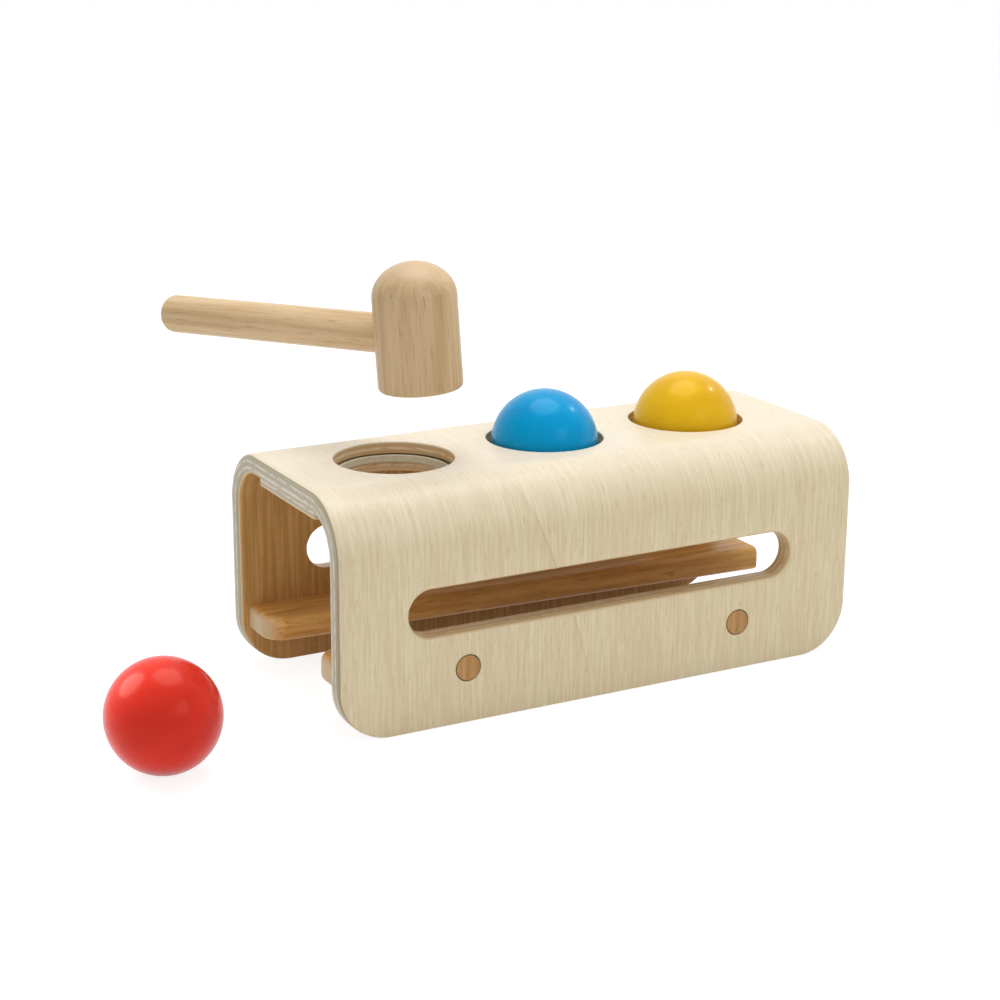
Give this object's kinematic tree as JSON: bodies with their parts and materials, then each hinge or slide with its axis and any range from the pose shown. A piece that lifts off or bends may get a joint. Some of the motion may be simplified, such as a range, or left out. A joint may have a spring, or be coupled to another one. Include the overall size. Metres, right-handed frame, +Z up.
{
  "type": "ball pounding toy",
  "caption": "Bent plywood arch with ring-gripped holes, coloured wooden balls and a mallet: a struck ball drops onto tapering rails and rolls out of the open end.",
  "frame": {"origin": "middle of the front wall's foot, on the table", "axes": "+X along the arch towards the end where the rails close in, +Y from the front wall to the back wall, +Z up"},
  "size_m": [0.3534, 0.2033, 0.1888],
  "materials": {
    "birch_ply": "clear satin lacquer, grain over the bend",
    "rail_wood": "clear satin lacquer",
    "mallet_wood": "clear satin lacquer",
    "plug_wood": "clear satin lacquer",
    "ring_rubber": "matt moulded",
    "screw_steel": "zinc plated",
    "red_lacquer": "stained and lacquered",
    "blue_lacquer": "stained and lacquered",
    "yellow_lacquer": "stained and lacquered"
  },
  "bodies": {
    "base": {"arch": "birch_ply", "ring_strip": "birch_ply", "ring_left": "ring_rubber", "ring_middle": "ring_rubber", "ring_right": "ring_rubber", "rail_front": "rail_wood", "rail_back": "rail_wood", "rail_screw_front_left": "screw_steel", "rail_screw_front_right": "screw_steel", "rail_screw_back_left": "screw_steel", "rail_screw_back_right": "screw_steel", "plug_front_left": "plug_wood", "plug_front_right": "plug_wood", "plug_back_left": "plug_wood", "plug_back_right": "plug_wood"},
    "blue_ball": {"ball_blue": "blue_lacquer"},
    "yellow_ball": {"ball_yellow": "yellow_lacquer"},
    "red_ball": {"ball_red": "red_lacquer"},
    "mallet": {"mallet_head": "mallet_wood", "mallet_handle": "mallet_wood"}
  },
  "joints": [
    {"name": "blue_ball_drop", "type": "slide", "parent": "base", "child": "blue_ball", "axis": [0, 0, 1], "range_m": [-0.0574, 0.045], "deforming": ["ring_middle"]},
    {"name": "yellow_ball_drop", "type": "slide", "parent": "base", "child": "yellow_ball", "axis": [0, 0, 1], "range_m": [-0.0559, 0.045], "deforming": ["ring_right"]},
    {"name": "red_ball_roll", "type": "slide", "parent": "base", "child": "red_ball", "axis": [-0.84, -0.5426, 0], "range_m": [-0.08, 0.06]},
    {"name": "mallet_strike", "type": "slide", "parent": "base", "child": "mallet", "axis": [0, 0, 1], "range_m": [-0.0285, 0.06]}
  ]
}
